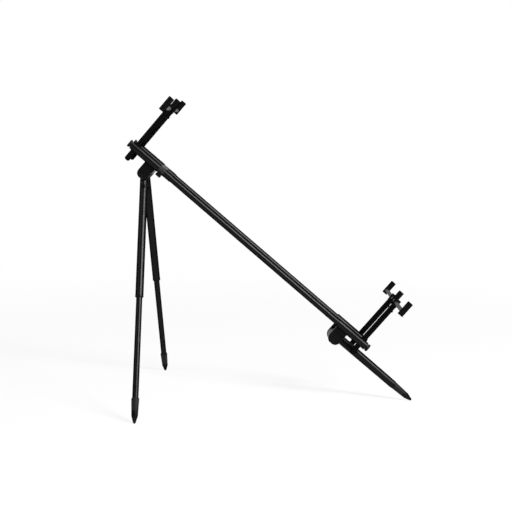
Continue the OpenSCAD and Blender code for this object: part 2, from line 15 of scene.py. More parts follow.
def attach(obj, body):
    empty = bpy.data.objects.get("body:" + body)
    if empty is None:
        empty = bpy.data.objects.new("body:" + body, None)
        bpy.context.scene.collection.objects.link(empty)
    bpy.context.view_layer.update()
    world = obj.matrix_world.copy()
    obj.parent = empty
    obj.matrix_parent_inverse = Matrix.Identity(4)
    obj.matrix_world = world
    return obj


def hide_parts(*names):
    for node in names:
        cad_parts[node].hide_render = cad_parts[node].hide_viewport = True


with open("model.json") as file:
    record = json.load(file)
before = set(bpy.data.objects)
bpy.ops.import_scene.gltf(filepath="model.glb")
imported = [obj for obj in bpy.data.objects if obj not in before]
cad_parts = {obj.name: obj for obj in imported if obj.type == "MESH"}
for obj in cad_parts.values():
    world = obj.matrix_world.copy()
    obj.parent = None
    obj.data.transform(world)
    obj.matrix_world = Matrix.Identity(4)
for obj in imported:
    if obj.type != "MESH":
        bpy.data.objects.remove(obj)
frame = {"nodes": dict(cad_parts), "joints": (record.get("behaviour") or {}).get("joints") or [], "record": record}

LOG = logging.getLogger("rod_pod")
MM = 0.001
SMOOTH_ANGLE = math.radians(32.0)
RIM_ANGLE = math.radians(60.0)
WELD = 1e-7
ACROSS = Vector((0.0, 1.0, 0.0))
TOP, BOTTOM = 1.0, -1.0

Pair = tuple[float, float]
Triple = tuple[float, float, float]


class Side(Enum):
    """Sides of the pod, as the angler behind it sees them."""

    LEFT = "left"
    RIGHT = "right"


class End(Enum):
    """Ends of the main bar."""

    FRONT = "front"
    REAR = "rear"


class Lay(Enum):
    """How a surface was worked, as the stretch of its marks across and along the axis."""

    DRAWN = (1.0, 60.0)
    TURNED = (40.0, 0.35)
    MOULDED = (1.0, 1.0)


def joint(name: str) -> dict:
    """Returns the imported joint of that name."""
    return next(j for j in frame["joints"] if j["name"] == name)


def mount(name: str) -> dict:
    """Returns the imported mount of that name."""
    return next(m for m in frame["record"]["mounts"] if m["name"] == name)


SIDES = [side.value for side in Side]
BAR_DOWN = -Vector(joint("head_slide")["axis"])
BAR_UP = Vector(joint("rear_stem_slide")["axis"])


def noise(tree: bpy.types.NodeTree, place: bpy.types.NodeSocket, scale: float, detail: float,
          roughness: float = 0.5) -> bpy.types.NodeSocket:
    """Adds a noise.

    Args:
        tree: node tree to add it to.
        place: coordinates that it reads.
        scale: scale of the noise.
        detail: number of finer layers.
        roughness: weight of the finer layers.

    Returns:
        Its value.
    """
    node = tree.nodes.new("ShaderNodeTexNoise")
    node.inputs["Scale"].default_value = scale
    node.inputs["Detail"].default_value = detail
    node.inputs["Roughness"].default_value = roughness
    tree.links.new(place, node.inputs["Vector"])
    return node.outputs["Fac"]


def ranged(tree: bpy.types.NodeTree, value: bpy.types.NodeSocket, span: Pair, result: Pair,
           interpolation: str = "LINEAR") -> bpy.types.NodeSocket:
    """Carries a value from one range to another.

    Args:
        tree: node tree to add the step to.
        value: the value.
        span: range that it comes from.
        result: range that it goes to.
        interpolation: how it gets there.

    Returns:
        The new value.
    """
    node = tree.nodes.new("ShaderNodeMapRange")
    node.interpolation_type = interpolation
    node.inputs["From Min"].default_value, node.inputs["From Max"].default_value = span
    node.inputs["To Min"].default_value, node.inputs["To Max"].default_value = result
    tree.links.new(value, node.inputs["Value"])
    return node.outputs["Result"]


def combined(tree: bpy.types.NodeTree, operation: str, first: bpy.types.NodeSocket,
             second: bpy.types.NodeSocket) -> bpy.types.NodeSocket:
    """Works out one value from two.

    Args:
        tree: node tree to add the step to.
        operation: what is done with them.
        first: the first value.
        second: the second value.

    Returns:
        The result.
    """
    node = tree.nodes.new("ShaderNodeMath")
    node.operation = operation
    tree.links.new(first, node.inputs[0])
    tree.links.new(second, node.inputs[1])
    return node.outputs["Value"]


@dataclass(frozen=True)
class Finish:
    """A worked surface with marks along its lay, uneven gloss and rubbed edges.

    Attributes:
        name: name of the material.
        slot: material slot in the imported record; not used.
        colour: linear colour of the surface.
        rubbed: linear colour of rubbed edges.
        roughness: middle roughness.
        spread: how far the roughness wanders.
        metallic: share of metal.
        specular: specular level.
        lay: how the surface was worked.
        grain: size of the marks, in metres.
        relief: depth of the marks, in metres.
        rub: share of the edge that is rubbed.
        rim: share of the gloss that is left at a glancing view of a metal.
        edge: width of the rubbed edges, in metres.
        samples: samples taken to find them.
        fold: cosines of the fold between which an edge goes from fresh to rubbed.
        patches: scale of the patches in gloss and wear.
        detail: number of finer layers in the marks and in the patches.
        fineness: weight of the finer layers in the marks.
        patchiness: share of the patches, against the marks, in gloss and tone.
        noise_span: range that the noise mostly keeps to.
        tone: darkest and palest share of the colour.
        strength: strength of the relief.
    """

    name: str
    slot: str
    colour: Triple
    rubbed: Triple
    roughness: float
    spread: float
    metallic: float
    specular: float
    lay: Lay
    grain: float
    relief: float
    rub: float = 0.35
    rim: float = 1.0
    edge: float = 0.45 * MM
    samples: int = 6
    fold: Pair = (0.995, 0.90)
    patches: float = 22.0
    detail: Pair = (3.0, 4.0)
    fineness: float = 0.6
    patchiness: float = 0.5
    noise_span: Pair = (0.3, 0.7)
    tone: Pair = (0.82, 1.18)
    strength: float = 0.6

    def material(self, axis: Vector) -> bpy.types.Material:
        """Makes the finish for pieces that run one way, once for each way.

        Args:
            axis: axis of the piece.

        Returns:
            The material.
        """
        key = f"{self.name}_" + "_".join(f"{round(c * 100):+04d}" for c in axis)
        made = bpy.data.materials.get(key)
        return made or self._draw(key, axis)

    def _draw(self, key: str, axis: Vector) -> bpy.types.Material:
        """Lays out the nodes.

        Args:
            key: name of the material.
            axis: axis of the piece.

        Returns:
            The new material.
        """
        material = bpy.data.materials.new(key)
        material.use_nodes = True
        tree = material.node_tree
        tree.nodes.clear()
        new, link = tree.nodes.new, tree.links.new

        place = new("ShaderNodeTexCoord").outputs["Object"]
        mark_detail, patch_detail = self.detail
        marks = noise(tree, self._turn(tree, place, axis), 1.0 / self.grain, mark_detail, self.fineness)
        cloud = noise(tree, place, self.patches, patch_detail)
        blend = new("ShaderNodeMix")
        blend.inputs["Factor"].default_value = self.patchiness
        link(marks, blend.inputs["A"])
        link(cloud, blend.inputs["B"])
        uneven = blend.outputs["Result"]
        smoothest, roughest = self.roughness - self.spread, self.roughness + self.spread
        gloss = ranged(tree, uneven, self.noise_span, (smoothest, roughest))

        edge = new("ShaderNodeBevel")
        edge.samples = self.samples
        edge.inputs["Radius"].default_value = self.edge
        bump = new("ShaderNodeBump")
        bump.inputs["Distance"].default_value = self.relief
        bump.inputs["Strength"].default_value = self.strength
        link(marks, bump.inputs["Height"])
        link(edge.outputs["Normal"], bump.inputs["Normal"])

        shader = new("ShaderNodeBsdfPrincipled")
        shader.inputs["Metallic"].default_value = self.metallic
        shader.inputs["Specular IOR Level"].default_value = self.specular
        shader.inputs["Specular Tint"].default_value = (self.rim, self.rim, self.rim, 1.0)
        wear = self._wear(tree, edge.outputs["Normal"], cloud)
        link(self._colour(tree, uneven, wear), shader.inputs["Base Color"])
        link(gloss, shader.inputs["Roughness"])
        link(bump.outputs["Normal"], shader.inputs["Normal"])
        out = new("ShaderNodeOutputMaterial")
        link(shader.outputs["BSDF"], out.inputs["Surface"])
        return material

    def _turn(self, tree: bpy.types.NodeTree, place: bpy.types.NodeSocket,
              axis: Vector) -> bpy.types.NodeSocket:
        """Turns and stretches coordinates to the lay.

        Args:
            tree: node tree of the material.
            place: the piece's own coordinates.
            axis: axis of the piece.

        Returns:
            The coordinates of the marks.
        """
        across, along = self.lay.value
        turn = tree.nodes.new("ShaderNodeMapping")
        turn.vector_type = "TEXTURE"
        turn.inputs["Rotation"].default_value = axis.to_track_quat("Z", "Y").to_euler()
        turn.inputs["Scale"].default_value = (across, across, along)
        tree.links.new(place, turn.inputs["Vector"])
        return turn.outputs["Vector"]

    def _wear(self, tree: bpy.types.NodeTree, rounded: bpy.types.NodeSocket,
              cloud: bpy.types.NodeSocket) -> bpy.types.NodeSocket:
        """Finds the rubbed edges.

        Args:
            tree: node tree of the material.
            rounded: normal of the surface with its edges rounded.
            cloud: patches of wear.

        Returns:
            The share of rubbed colour.
        """
        facing = tree.nodes.new("ShaderNodeNewGeometry")
        fold = tree.nodes.new("ShaderNodeVectorMath")
        fold.operation = "DOT_PRODUCT"
        tree.links.new(rounded, fold.inputs[0])
        tree.links.new(facing.outputs["Normal"], fold.inputs[1])
        wear = ranged(tree, fold.outputs["Value"], self.fold, (0.0, self.rub))
        return combined(tree, "MULTIPLY", wear, cloud)

    def _colour(self, tree: bpy.types.NodeTree, uneven: bpy.types.NodeSocket,
                wear: bpy.types.NodeSocket) -> bpy.types.NodeSocket:
        """Mixes the colour.

        Args:
            tree: node tree of the material.
            uneven: noise that the tone follows.
            wear: share of rubbed colour.

        Returns:
            The colour.
        """
        shade = tree.nodes.new("ShaderNodeMix")
        shade.data_type = "RGBA"
        shade.blend_type = "MULTIPLY"
        shade.inputs["Factor"].default_value = 1.0
        shade.inputs["A"].default_value = (*self.colour, 1.0)
        tree.links.new(ranged(tree, uneven, self.noise_span, self.tone), shade.inputs["B"])
        rubbed = tree.nodes.new("ShaderNodeMix")
        rubbed.data_type = "RGBA"
        rubbed.inputs["B"].default_value = (*self.rubbed, 1.0)
        tree.links.new(wear, rubbed.inputs["Factor"])
        tree.links.new(shade.outputs["Result"], rubbed.inputs["A"])
        return rubbed.outputs["Result"]


TUBE = Finish(
    name="tube_black", slot="black_tube", colour=(0.0140, 0.0140, 0.0144), rubbed=(0.05, 0.05, 0.05),
    roughness=0.37, spread=0.04, metallic=1.0, specular=0.5,
    lay=Lay.DRAWN, grain=0.45 * MM, relief=0.014 * MM, rim=0.1)
STEM = Finish(
    name="stem_black", slot="black_stem", colour=(0.0060, 0.0060, 0.0062), rubbed=(0.05, 0.05, 0.05),
    roughness=0.34, spread=0.03, metallic=1.0, specular=0.5,
    lay=Lay.TURNED, grain=1.0 * MM, relief=0.010 * MM, rim=0.1)
INSERT = Finish(
    name="insert_black", slot="black_insert", colour=(0.0085, 0.0085, 0.0088), rubbed=(0.05, 0.05, 0.05),
    roughness=0.44, spread=0.04, metallic=1.0, specular=0.5,
    lay=Lay.TURNED, grain=1.0 * MM, relief=0.014 * MM, rim=0.1)
NYLON = Finish(
    name="nylon_black", slot="black_plastic", colour=(0.0014, 0.0014, 0.0015), rubbed=(0.04, 0.04, 0.04),
    roughness=0.38, spread=0.05, metallic=0.0, specular=0.10,
    lay=Lay.MOULDED, grain=0.75 * MM, relief=0.060 * MM)
RUBBER = Finish(
    name="sleeve_black", slot="black_plastic", colour=(0.0060, 0.0060, 0.0061), rubbed=(0.03, 0.03, 0.03),
    roughness=0.60, spread=0.05, metallic=0.0, specular=0.16,
    lay=Lay.MOULDED, grain=0.7 * MM, relief=0.080 * MM)
GREY_BAR = Finish(
    name="bar_grey", slot="grey_metal", colour=(0.018, 0.018, 0.019), rubbed=(0.09, 0.09, 0.09),
    roughness=0.42, spread=0.06, metallic=0.0, specular=0.09,
    lay=Lay.DRAWN, grain=0.45 * MM, relief=0.014 * MM)
GREY_CLAMP = Finish(
    name="clamp_grey", slot="grey_clamp", colour=(0.015, 0.015, 0.0155), rubbed=(0.07, 0.07, 0.07),
    roughness=0.45, spread=0.06, metallic=0.0, specular=0.10,
    lay=Lay.MOULDED, grain=0.7 * MM, relief=0.060 * MM)
DARK_STEEL = Finish(
    name="steel_dark", slot="steel_pin", colour=(0.003, 0.003, 0.0032), rubbed=(0.05, 0.05, 0.05),
    roughness=0.36, spread=0.05, metallic=0.0, specular=0.12,
    lay=Lay.TURNED, grain=0.5 * MM, relief=0.003 * MM)


def stand(foot: Vector, axis: Vector) -> Matrix:
    """Places a piece that was made along +Z.

    Args:
        foot: where its origin goes.
        axis: where its +Z points.

    Returns:
        The matrix that does it.
    """
    return Matrix.Translation(foot) @ axis.to_track_quat("Z", "Y").to_matrix().to_4x4()


def lowered(start: Vector, up: Vector, height: float) -> Vector:
    """Runs down a leg's axis.

    Args:
        start: a point on the axis.
        up: direction of the axis.
        height: height above the floor to stop at, in metres.

    Returns:
        The point of the axis at that height.
    """
    return start - up * ((start.z - height) / up.z)


def turned(profile: Sequence[Pair], steps: int = 64) -> bmesh.types.BMesh:
    """Turns a profile about Z.

    Args:
        profile: radius and height of each point, in millimetres.
        steps: sides of the turned shape.

    Returns:
        The closed mesh, in metres.
    """
    bm = bmesh.new()
    points = [bm.verts.new((r * MM, 0.0, z * MM)) for r, z in profile]
    lines = [bm.edges.new(pair) for pair in zip(points, points[1:])]
    bmesh.ops.spin(bm, geom=points + lines, cent=(0, 0, 0), axis=(0, 0, 1), angle=math.tau,
                   steps=steps, use_merge=True)
    bmesh.ops.remove_doubles(bm, verts=bm.verts[:], dist=WELD)
    bmesh.ops.recalc_face_normals(bm, faces=bm.faces[:])
    return bm


def level_edges(bm: bmesh.types.BMesh) -> list[bmesh.types.BMEdge]:
    """Returns the edges that lie level in a piece made along Z."""
    return [e for e in bm.edges if abs(e.verts[0].co.z - e.verts[1].co.z) < WELD]


def round_off(bm: bmesh.types.BMesh, edges: Iterable[bmesh.types.BMEdge], width: float) -> None:
    """Rounds edges off.

    Args:
        bm: the mesh.
        edges: its edges to round.
        width: width of the rounding, in millimetres.
    """
    bmesh.ops.bevel(bm, geom=list(edges), offset=width * MM, offset_type="OFFSET", segments=2,
                    profile=0.5, affect="EDGES", material=-1)


def end_face(bm: bmesh.types.BMesh, way: float) -> bmesh.types.BMFace:
    """Finds the flat end of a piece made along Z.

    Args:
        bm: the mesh.
        way: TOP or BOTTOM.

    Returns:
        The face whose middle lies furthest that way.
    """
    return max(bm.faces, key=lambda f: (round(f.calc_center_median().z * way, 6), f.calc_area()))


def settle(bm: bmesh.types.BMesh, name: str, place: Matrix, body: str, finish: Finish,
           axis: Vector, stands_for: Iterable[str] = ()) -> None:
    """Puts a finished mesh in its place and on its body.

    Args:
        bm: the mesh, which is used up.
        name: name of the piece.
        place: matrix from the mesh's own frame to the pod's.
        body: body that carries the piece.
        finish: finish of the piece.
        axis: axis that the finish follows.
        stands_for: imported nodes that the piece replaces.
    """
    bmesh.ops.transform(bm, matrix=place, verts=bm.verts[:])
    mesh = bpy.data.meshes.new(name)
    bm.to_mesh(mesh)
    bm.free()
    mesh.shade_smooth()
    mesh.set_sharp_from_angle(angle=SMOOTH_ANGLE)
    mesh.materials.append(finish.material(axis))
    piece = bpy.data.objects.new(name, mesh)
    bpy.context.scene.collection.objects.link(piece)
    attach(piece, body)
    if stands_for:
        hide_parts(*stands_for)
    LOG.info("%s: %d faces on %s", name, len(mesh.polygons), body)


def dress(nodes: Iterable[str], finish: Finish, axis: Vector) -> None:
    """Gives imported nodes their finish.

    Args:
        nodes: names of the nodes.
        finish: finish that they take.
        axis: axis that the finish follows.
    """
    for node in nodes:
        mesh = frame["nodes"][node].data
        mesh.materials.clear()
        mesh.materials.append(finish.material(axis))
        LOG.info("%s: dressed in %s", node, finish.name)


@dataclass
class Screw:
    """Hand screw with a fluted head and a dished face, in millimetres.

    Attributes:
        head_width: diameter over the flutes.
        head_height: height of the head.
        neck_width: diameter of the neck under the head.
        neck: length of the neck.
        shank_width: diameter of the shank.
        shank: length of the shank inside its seat.
        flutes: number of flutes.
        flute: depth of a flute.
        facets: sides of a ridge and its flute together, half of which are sunk.
        dish: depth of the dish in the face.
        land: share of the head's diameter that is flat round the dish, on each side.
        rim: width of the rims.
        rounding: rounding of the rims.
        chamfer: chamfer at the end of the shank.
        gap: gap between the neck and the seat.
        root: how far the neck reaches into the head.
        sides: sides of the neck and the shank.
    """

    head_width: float
    head_height: float
    neck_width: float
    neck: float
    shank_width: float
    shank: float
    flutes: int = 26
    flute: float = 0.45
    facets: int = 4
    dish: float = 0.7
    land: float = 0.12
    rim: float = 0.5
    rounding: float = 0.35
    chamfer: float = 0.5
    gap: float = 0.02
    root: float = 0.3
    sides: int = 48

    def build(self, name: str, turn: str, body: str, node: str, finish: Finish) -> None:
        """Makes the head and the shank of one screw.

        Args:
            name: name of the piece.
            turn: joint that turns the screw.
            body: body that carries it.
            node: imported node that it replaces.
            finish: finish of the screw.
        """
        axis = Vector(joint(turn)["axis"])
        place = stand(Vector(joint(turn)["pos_m"]), axis)
        settle(self._head(), name, place, body, finish, axis, [node])
        shank_radius, neck_radius, top = self.shank_width / 2, self.neck_width / 2, self.neck + self.root
        shank = turned([(0, -self.shank), (shank_radius - self.chamfer, -self.shank),
                        (shank_radius, self.chamfer - self.shank), (shank_radius, self.gap),
                        (neck_radius, self.gap), (neck_radius, top), (0, top)], self.sides)
        settle(shank, f"{name}_shank", place, body, DARK_STEEL, axis)

    def _head(self) -> bmesh.types.BMesh:
        """Makes the fluted head, which stands on its neck.

        Returns:
            The head.
        """
        bm = bmesh.new()
        radius = self.head_width / 2
        sides = self.facets * self.flutes
        bmesh.ops.create_circle(bm, cap_ends=True, segments=sides, radius=radius * MM)
        inner = (radius - self.flute) / radius
        bm.verts.ensure_lookup_table()
        hollows = [v for i, v in enumerate(bm.verts) if i % self.facets >= self.facets / 2]
        bmesh.ops.scale(bm, vec=(inner, inner, 1.0), verts=hollows)
        bmesh.ops.translate(bm, vec=(0, 0, self.neck * MM), verts=bm.verts[:])
        raised = bmesh.ops.extrude_face_region(bm, geom=bm.faces[:])["geom"]
        bmesh.ops.translate(bm, vec=(0, 0, self.head_height * MM),
                            verts=[g for g in raised if isinstance(g, bmesh.types.BMVert)])
        bmesh.ops.recalc_face_normals(bm, faces=bm.faces[:])
        for way in (TOP, BOTTOM):
            bmesh.ops.inset_region(bm, faces=[end_face(bm, way)], thickness=self.rim * MM, depth=0.0)
        self._soften(bm)
        return bm

    def _soften(self, bm: bmesh.types.BMesh) -> None:
        """Rounds the rims of the head and presses the dish into its face.

        Args:
            bm: the head.
        """
        round_off(bm, [e for e in level_edges(bm) if e.calc_face_angle() > RIM_ANGLE], self.rounding)
        face = end_face(bm, TOP)
        bmesh.ops.inset_region(bm, faces=[face], thickness=self.head_width * self.land * MM, depth=0.0)
        bmesh.ops.inset_region(bm, faces=[face], thickness=self.dish * MM, depth=-self.dish * MM)


@dataclass
class Pin:
    """Pivot pin with rounded ends and a hexagon socket in each, in millimetres.

    Attributes:
        width: diameter.
        length: length from end to end.
        socket: width of the socket across its flats.
        depth: depth of the socket.
        rounding: rounding of the ends.
        land: share of the pin's width outside the socket that stays round.
        draft: how much narrower the socket is at its bottom, on each side.
        sides: sides of the pin.
    """

    width: float
    length: float
    socket: float
    depth: float
    rounding: float = 0.6
    land: float = 0.2
    draft: float = 0.02
    sides: int = 48

    def build(self, node: str, middle: Vector, axis: Vector, body: str) -> None:
        """Makes the pin.

        Args:
            node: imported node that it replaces, which also names the piece.
            middle: middle of the pin.
            axis: axis of the pin.
            body: body that carries it.
        """
        bm = bmesh.new()
        radius = self.width / 2 * MM
        bmesh.ops.create_cone(bm, cap_ends=True, segments=self.sides, radius1=radius, radius2=radius,
                              depth=self.length * MM)
        round_off(bm, level_edges(bm), self.rounding)
        for way in (TOP, BOTTOM):
            self._press_socket(bm, end_face(bm, way))
        settle(bm, f"{node}_bolt", stand(middle, axis), body, DARK_STEEL, axis, [node])

    def _press_socket(self, bm: bmesh.types.BMesh, face: bmesh.types.BMFace) -> None:
        """Presses a hexagon socket into one end.

        Args:
            bm: the pin.
            face: its end.
        """
        land = (self.width - self.socket) * self.land
        bmesh.ops.inset_region(bm, faces=[face], thickness=land * MM, depth=0.0)
        sixth = math.tau / 6
        for v in face.verts:
            angle = math.atan2(v.co.y, v.co.x)
            reach = self.socket / 2 * MM / math.cos((angle % sixth) - sixth / 2)
            v.co.x, v.co.y = reach * math.cos(angle), reach * math.sin(angle)
        bmesh.ops.inset_region(bm, faces=[face], thickness=self.draft * MM, depth=-self.depth * MM)


@dataclass
class Foot:
    """Foot of a leg, in millimetres down from its top: a moulded sleeve and a spike under it.

    A softened edge is given as steps out and up from where the sharp one would be.

    Attributes:
        length: length from the top to the tip.
        collar_width: diameter of the collar.
        bevel: bevel round the top, which is twice as long as it is wide.
        bore_width: diameter of the socket for the leg.
        socket: depth of the socket.
        split: where the sleeve ends and the spike begins.
        neck: where the point of the spike begins.
        neck_width: diameter there.
        tip_radius: radius of the tip.
        arc: angles of the points on the tip's radius, in degrees.
        gap: gap between the sleeve and the spike.
        shoulder: softened edge under the bevel.
        hem: softened end of the sleeve.
        crown: softened top of the spike.
        bend: softened edge where the point begins.
    """

    length: float = 59.0
    collar_width: float = 18.6
    bevel: float = 1.0
    bore_width: float = 14.75
    socket: float = 22.0
    split: float = 30.5
    neck: float = 41.5
    neck_width: float = 15.2
    tip_radius: float = 3.4
    arc: range = range(20, 81, 15)
    gap: float = 0.02
    shoulder: tuple[Pair, ...] = ((-0.12, 0.3), (-0.02, -0.4))
    hem: tuple[Pair, ...] = ((0.05, 0.6), (-0.1, 0.2), (-0.5, 0.0))
    crown: tuple[Pair, ...] = ((-0.5, 0.0), (-0.1, -0.38))
    bend: tuple[Pair, ...] = ((0.05, 0.4), (-0.15, -0.3))

    def build(self, name: str, node: str, tip: Vector, axis: Vector, body: str) -> None:
        """Makes the sleeve and the spike.

        Args:
            name: name of the foot.
            node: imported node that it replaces.
            tip: centre of the tip's radius.
            axis: direction up the leg.
            body: body that carries it.
        """
        place = stand(tip + axis * (self.length - self.tip_radius) * MM, axis)
        shelf, top = 2 * self.bevel, -self.split - self.gap
        collar, bore, neck = self.collar_width / 2, self.bore_width / 2, self.neck_width / 2
        taper = (collar - neck) / (self.neck - shelf)
        waist = collar - taper * (self.split - shelf)
        sleeve = [(0, -self.socket), (bore, -self.socket), (bore, 0), (collar - self.bevel, 0),
                  *self._soft(collar, -shelf, self.shoulder), *self._soft(waist, -self.split, self.hem),
                  (0, -self.split)]
        settle(turned(sleeve), f"{name}_sleeve", place, body, RUBBER, axis, [node])
        middle = self.tip_radius - self.length
        point = [(self.tip_radius * math.cos(a), middle - self.tip_radius * math.sin(a))
                 for a in map(math.radians, self.arc)]
        spike = [(0, top), *self._soft(waist, top, self.crown), *self._soft(neck, -self.neck, self.bend),
                 *point, (0, -self.length)]
        settle(turned(spike), f"{name}_spike", place, body, TUBE, axis)

    @staticmethod
    def _soft(radius: float, height: float, steps: Iterable[Pair]) -> list[Pair]:
        """Softens an edge of a profile.

        Args:
            radius: radius of the sharp edge.
            height: height of the sharp edge.
            steps: how far out and up from it each point lies.

        Returns:
            The points.
        """
        return [(radius + out, height + up) for out, up in steps]


@dataclass
class MainBar:
    """The two rails with their stop collars, rear sleeves, rear hinge and rear stem screws.

    Attributes:
        pin: pivot pin of the rear hinge.
        screw: screw that locks a rear stem.
    """

    pin: Pin
    screw: Screw

    def build(self) -> None:
        """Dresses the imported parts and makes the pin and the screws."""
        for part in ("rail", "collar", "rear_sleeve"):
            dress([f"{side}_{part}" for side in SIDES], TUBE, BAR_DOWN)
        dress(["rear_hinge_block"], NYLON, BAR_DOWN)
        pivot = Vector(joint("rear_leg_fold")["pos_m"])
        self.pin.build("rear_pivot_pin", pivot, ACROSS, "main_bar")
        for side in SIDES:
            name = f"{side}_rear_stem_screw"
            self.screw.build(name, f"{name}_turn", name, f"{side}_rear_stem_knob", TUBE)


@dataclass
class FrontHead:
    """The sliding front end: sleeves, rail clamp, front hinge and their screws.

    Attributes:
        pin: pivot pin of the front hinge.
        stem_screw: screw that locks a front stem.
        rail_screw: screw under the rail clamp.
    """

    pin: Pin
    stem_screw: Screw
    rail_screw: Screw

    def build(self) -> None:
        """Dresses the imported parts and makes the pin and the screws."""
        dress([f"{side}_front_sleeve" for side in SIDES], TUBE, BAR_DOWN)
        dress(["rail_clamp"], GREY_CLAMP, BAR_DOWN)
        dress(["clamp_jaw", "front_hinge_block"], NYLON, BAR_DOWN)
        pivot = Vector(joint("left_leg_fold")["pos_m"])
        self.pin.build("front_pivot_pin", pivot, ACROSS, "front_head")
        for side in SIDES:
            stem, rail = f"{side}_front_stem_screw", f"{side}_rail_screw"
            self.stem_screw.build(stem, f"{stem}_turn", stem, f"{side}_front_stem_knob", TUBE)
            self.rail_screw.build(rail, f"{rail}_turn", rail, f"{side}_rail_knob", NYLON)


@dataclass
class FrontLeg:
    """One splayed telescopic front leg.

    Attributes:
        side: side of the pod that it stands on.
        pin: pin of its splay joint.
        foot: its foot.
    """

    side: Side
    pin: Pin
    foot: Foot

    def build(self) -> None:
        """Dresses the tubes and makes the splay pin and the foot."""
        side = self.side.value
        leg = f"{side}_leg"
        up = Vector(joint(f"{leg}_slide")["axis"])
        splay = joint(f"{leg}_splay")
        middle = Vector(splay["pos_m"])
        dress([f"{side}_knuckle", f"{leg}_fork", f"{leg}_tube", f"{leg}_inner"], TUBE, up)
        dress([f"{leg}_bush", f"{leg}_plug"], NYLON, up)
        self.pin.build(f"{side}_splay_pin", middle, Vector(splay["axis"]), leg)
        tip = lowered(middle, up, self.foot.tip_radius * MM)
        self.foot.build(f"{leg}_foot", f"{side}_foot", tip, up, f"{leg}_slider")


@dataclass
class RearLeg:
    """The short rear leg under the main bar, in millimetres.

    Attributes:
        lift: distance of the leg's axis from its pivot, up and square to the main bar.
        foot: its foot.
    """

    lift: float
    foot: Foot

    def build(self) -> None:
        """Dresses the tubes and makes the foot."""
        up = -Vector(joint("rear_leg_slide")["axis"])
        dress(["rear_leg_tube", "rear_leg_inner"], TUBE, up)
        dress(["rear_knuckle", "rear_leg_bush", "rear_leg_plug"], NYLON, up)
        start = Vector(joint("rear_leg_fold")["pos_m"]) + BAR_UP * self.lift * MM
        tip = lowered(start, up, self.foot.tip_radius * MM)
        self.foot.build("rear_leg_foot", "rear_foot", tip, up, "rear_leg_slider")


@dataclass
class BuzzBar:
    """A cross bar on two stems with three alarm inserts, in millimetres.

    Attributes:
        end: end of the main bar that it stands at.
        bore: diameter of the thread's bore.
        crest: diameter inside the thread's crests.
        pitch: pitch of the thread.
        turns: whole turns of the thread.
        depth: depth of the bore.
        start: depth at which the thread starts.
        flank: height of a flank of the thread, as a share of the pitch.
        flat: height of its crest, as a share of the pitch.
        steps: steps in a turn of the thread.
    """

    end: End
    bore: float = 8.3
    crest: float = 7.5
    pitch: float = 1.27
    turns: int = 10
    depth: float = 15.0
    start: float = 0.6
    flank: float = 0.42
    flat: float = 0.10
    steps: int = 28

    def build(self) -> None:
        """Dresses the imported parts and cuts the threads."""
        end = self.end.value
        dress([f"{side}_{end}_stem" for side in SIDES], STEM, BAR_UP)
        dress([f"{side}_{end}_cap" for side in SIDES], INSERT, BAR_UP)
        dress([f"{end}_bar"], GREY_BAR, ACROSS)
        for place in ("left", "middle", "right"):
            dress([f"{place}_{end}_insert"], INSERT, BAR_UP)
            self._thread(f"{place}_{end}_thread")

    def _thread(self, name: str) -> None:
        """Makes the thread in one insert.

        Args:
            name: name of the mount, which also names the piece.
        """
        hole = mount(name)
        axis = Vector(hole["axis"])
        mouth = Vector(hole["pos_m"]) + axis * self.depth / 2 * MM
        root, crest = self.bore / 2, self.crest / 2
        ridge = [(root, 0.0), (crest, self.flank), (crest, self.flank + self.flat),
                 (root, 2 * self.flank + self.flat)]
        bm = bmesh.new()
        corners = [bm.verts.new((r * MM, 0.0, -(self.start + down * self.pitch) * MM))
                   for r, down in ridge]
        lines = [bm.edges.new((corners[i - 1], corners[i])) for i in range(len(corners))]
        bmesh.ops.spin(bm, geom=corners + lines, cent=(0, 0, 0), axis=(0, 0, 1),
                       angle=math.tau * self.turns, dvec=(0, 0, -self.pitch * MM / self.steps),
                       steps=self.steps * self.turns)
        ends = [e for e in bm.edges if e.is_boundary]
        bmesh.ops.holes_fill(bm, edges=ends, sides=len(corners))
        bmesh.ops.recalc_face_normals(bm, faces=bm.faces[:])
        settle(bm, name, stand(mouth, axis), f"{self.end.value}_buzz_bar", DARK_STEEL, axis)


@dataclass(frozen=True)
class Lamp:
    """A soft box that faces the pod.

    Attributes:
        name: name of the lamp.
        place: where it hangs.
        size: its width and its length along the bar, in metres.
        watts: its power.
    """

    name: str
    place: Triple
    size: Pair
    watts: float

    def hang(self, target: Vector) -> None:
        """Hangs the lamp with its longer side along the slope of the main bar.

        Args:
            target: point that it faces.
        """
        data = bpy.data.lights.new(self.name, "AREA")
        data.shape = "RECTANGLE"
        data.size, data.size_y = self.size
        data.energy = self.watts
        lamp = bpy.data.objects.new(self.name, data)
        back = (Vector(self.place) - target).normalized()
        side = BAR_DOWN.cross(back).normalized()
        turn = Matrix((side, back.cross(side), back)).transposed().to_4x4()
        lamp.matrix_world = Matrix.Translation(self.place) @ turn
        bpy.context.scene.collection.objects.link(lamp)


